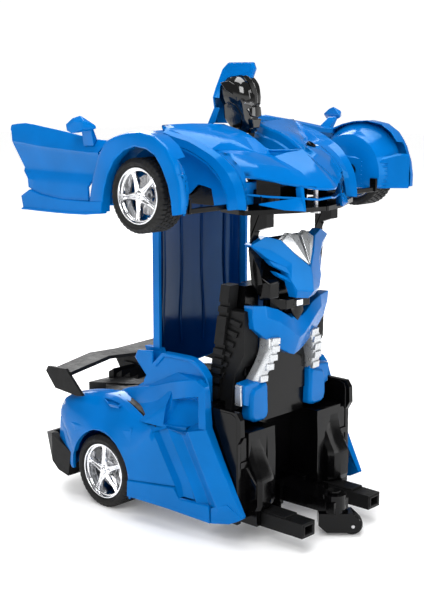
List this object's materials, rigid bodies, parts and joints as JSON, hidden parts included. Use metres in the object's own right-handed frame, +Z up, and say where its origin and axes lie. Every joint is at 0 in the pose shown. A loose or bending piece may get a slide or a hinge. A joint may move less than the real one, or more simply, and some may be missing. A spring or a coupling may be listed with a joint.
{
  "type": "transforming robot car",
  "caption": "Toy car in its robot form, with hood and fender arms, tub legs with a caster, and the car tail behind.",
  "frame": {"origin": "on the ground under the middle of the bounding box, robot form", "axes": "+X the robot's front, which is also the car's front, +Y its left side, +Z up"},
  "size_m": [0.2123, 0.2268, 0.279],
  "materials": {
    "blue_plastic": "glossy moulded ABS, blue",
    "black_plastic": "glossy moulded ABS, black",
    "charcoal_plastic": "satin moulded plastic, charcoal",
    "silver_plastic": "silver painted plastic",
    "tyre_rubber": "soft black rubber",
    "chrome": "vacuum plated chrome over plastic",
    "steel": "bright steel",
    "battery_wrap": "shrink wrap",
    "circuit_board": "green solder mask"
  },
  "bodies": {
    "rear_base": {"rear_body": "blue_plastic", "engine_cover": "charcoal_plastic", "spoiler_wing": "charcoal_plastic", "spoiler_fin": "charcoal_plastic", "rear_diffuser": "charcoal_plastic", "gearbox_housing": "black_plastic", "chassis_plate": "black_plastic", "drive_motor_right": "steel", "drive_motor_left": "steel", "main_hinge_pin_right": "steel", "main_hinge_pin_left": "steel"},
    "roof": {"roof_panel": "blue_plastic"},
    "leg_frame": {"leg_housing": "black_plastic", "leg_back_cover": "black_plastic", "circuit_board": "circuit_board", "transform_motor": "steel", "caster_hinge_pin": "steel", "hip_plate": "blue_plastic", "torso_frame": "black_plastic", "chest_plate": "blue_plastic", "chest_emblem": "silver_plastic", "battery_pack": "battery_wrap", "battery_cover": "black_plastic", "shin_right": "blue_plastic", "shin_left": "blue_plastic", "thigh_right": "silver_plastic", "thigh_left": "silver_plastic", "side_strut_right": "charcoal_plastic", "side_strut_left": "charcoal_plastic"},
    "hood": {"hood_shell": "blue_plastic", "hood_tray": "black_plastic", "hood_screw": "steel", "head_pin": "steel"},
    "head": {"helmet": "black_plastic", "crest_panel": "blue_plastic"},
    "caster_arm_body": {"caster_arm": "black_plastic"},
    "caster_fork_body": {"caster_fork": "black_plastic", "caster_axle": "steel"},
    "caster_wheel_body": {"caster_wheel": "tyre_rubber"},
    "power_switch_body": {"power_switch": "charcoal_plastic"},
    "arm_right": {"arm_shell_right": "blue_plastic", "arm_link_right": "black_plastic", "front_axle_right": "steel"},
    "front_wheel_right": {"front_tyre_right": "tyre_rubber", "front_rim_right": "chrome"},
    "rear_wheel_right": {"rear_tyre_right": "tyre_rubber", "rear_rim_right": "chrome", "rear_axle_right": "steel"},
    "motor_pinion_right_body": {"motor_pinion_right": "steel"},
    "foot_right_body": {"foot_right": "charcoal_plastic"},
    "arm_left": {"arm_shell_left": "blue_plastic", "arm_link_left": "black_plastic", "front_axle_left": "steel"},
    "front_wheel_left": {"front_tyre_left": "tyre_rubber", "front_rim_left": "chrome"},
    "rear_wheel_left": {"rear_tyre_left": "tyre_rubber", "rear_rim_left": "chrome", "rear_axle_left": "steel"},
    "motor_pinion_left_body": {"motor_pinion_left": "steel"},
    "foot_left_body": {"foot_left": "charcoal_plastic"}
  },
  "joints": [
    {"name": "transform", "type": "hinge", "parent": "rear_base", "child": "leg_frame", "pos_m": [0.02035, 0, 0.0545], "axis": [0, 1, 0], "range_deg": [0, 90]},
    {"name": "hood_level", "type": "hinge", "parent": "leg_frame", "child": "hood", "pos_m": [0.05885, 0, 0.203], "axis": [0, 1, 0], "range_deg": [-90, 0]},
    {"name": "roof_fold", "type": "hinge", "parent": "rear_base", "child": "roof", "pos_m": [-0.00515, 0, 0.073], "axis": [0, 1, 0], "range_deg": [0, 90]},
    {"name": "head_fold", "type": "hinge", "parent": "hood", "child": "head", "pos_m": [0.00985, 0, 0.232], "axis": [0, 1, 0], "range_deg": [0, 90]},
    {"name": "caster_arm_fold", "type": "hinge", "parent": "leg_frame", "child": "caster_arm_body", "pos_m": [0.05185, 0, 0.0195], "axis": [0, 1, 0], "range_deg": [-90, 0]},
    {"name": "caster_swivel", "type": "hinge", "parent": "caster_arm_body", "child": "caster_fork_body", "pos_m": [0.09035, 0, 0.0145], "axis": [0, 0, 1], "continuous": true},
    {"name": "caster_wheel_spin", "type": "hinge", "parent": "caster_fork_body", "child": "caster_wheel_body", "pos_m": [0.09854, 0.00763, 0.0063], "axis": [-0.6816, 0.7317, 0], "continuous": true},
    {"name": "arm_slide_right", "type": "slide", "parent": "hood", "child": "arm_right", "axis": [0, 1, 0], "range_m": [0, 0.036]},
    {"name": "foot_slide_right", "type": "slide", "parent": "leg_frame", "child": "foot_right_body", "axis": [-1, 0, 0], "range_m": [0, 0.026]},
    {"name": "front_wheel_spin_right", "type": "hinge", "parent": "arm_right", "child": "front_wheel_right", "pos_m": [0.03385, -0.0975, 0.2075], "axis": [0, 1, 0], "continuous": true},
    {"name": "rear_wheel_spin_right", "type": "hinge", "parent": "rear_base", "child": "rear_wheel_right", "pos_m": [-0.04465, -0.0555, 0.0236], "axis": [0, 1, 0], "continuous": true},
    {"name": "motor_spin_right", "type": "hinge", "parent": "rear_base", "child": "motor_pinion_right_body", "pos_m": [-0.05527, -0.018, 0.02685], "axis": [0, 1, 0], "continuous": true},
    {"name": "arm_slide_left", "type": "slide", "parent": "hood", "child": "arm_left", "axis": [0, -1, 0], "range_m": [0, 0.036]},
    {"name": "foot_slide_left", "type": "slide", "parent": "leg_frame", "child": "foot_left_body", "axis": [-1, 0, 0], "range_m": [0, 0.026]},
    {"name": "front_wheel_spin_left", "type": "hinge", "parent": "arm_left", "child": "front_wheel_left", "pos_m": [0.03385, 0.0975, 0.2075], "axis": [0, 1, 0], "continuous": true},
    {"name": "rear_wheel_spin_left", "type": "hinge", "parent": "rear_base", "child": "rear_wheel_left", "pos_m": [-0.04465, 0.0555, 0.0236], "axis": [0, 1, 0], "continuous": true},
    {"name": "motor_spin_left", "type": "hinge", "parent": "rear_base", "child": "motor_pinion_left_body", "pos_m": [-0.05527, 0.018, 0.02685], "axis": [0, 1, 0], "continuous": true},
    {"name": "power_switch_slide", "type": "slide", "parent": "rear_base", "child": "power_switch_body", "axis": [1, 0, 0], "range_m": [0, 0.004]}
  ],
  "couplings": [
    {"joint": "hood_level", "follows": "transform", "ratio": -1},
    {"joint": "roof_fold", "follows": "transform", "ratio": 1},
    {"joint": "head_fold", "follows": "transform", "ratio": 1},
    {"joint": "caster_arm_fold", "follows": "transform", "ratio": -1},
    {"joint": "arm_slide_right", "follows": "transform", "m_per_rad": 0.022918},
    {"joint": "foot_slide_right", "follows": "transform", "m_per_rad": 0.016552},
    {"joint": "motor_spin_right", "follows": "rear_wheel_spin_right", "ratio": -2},
    {"joint": "arm_slide_left", "follows": "transform", "m_per_rad": 0.022918},
    {"joint": "foot_slide_left", "follows": "transform", "m_per_rad": 0.016552},
    {"joint": "motor_spin_left", "follows": "rear_wheel_spin_left", "ratio": -2}
  ]
}
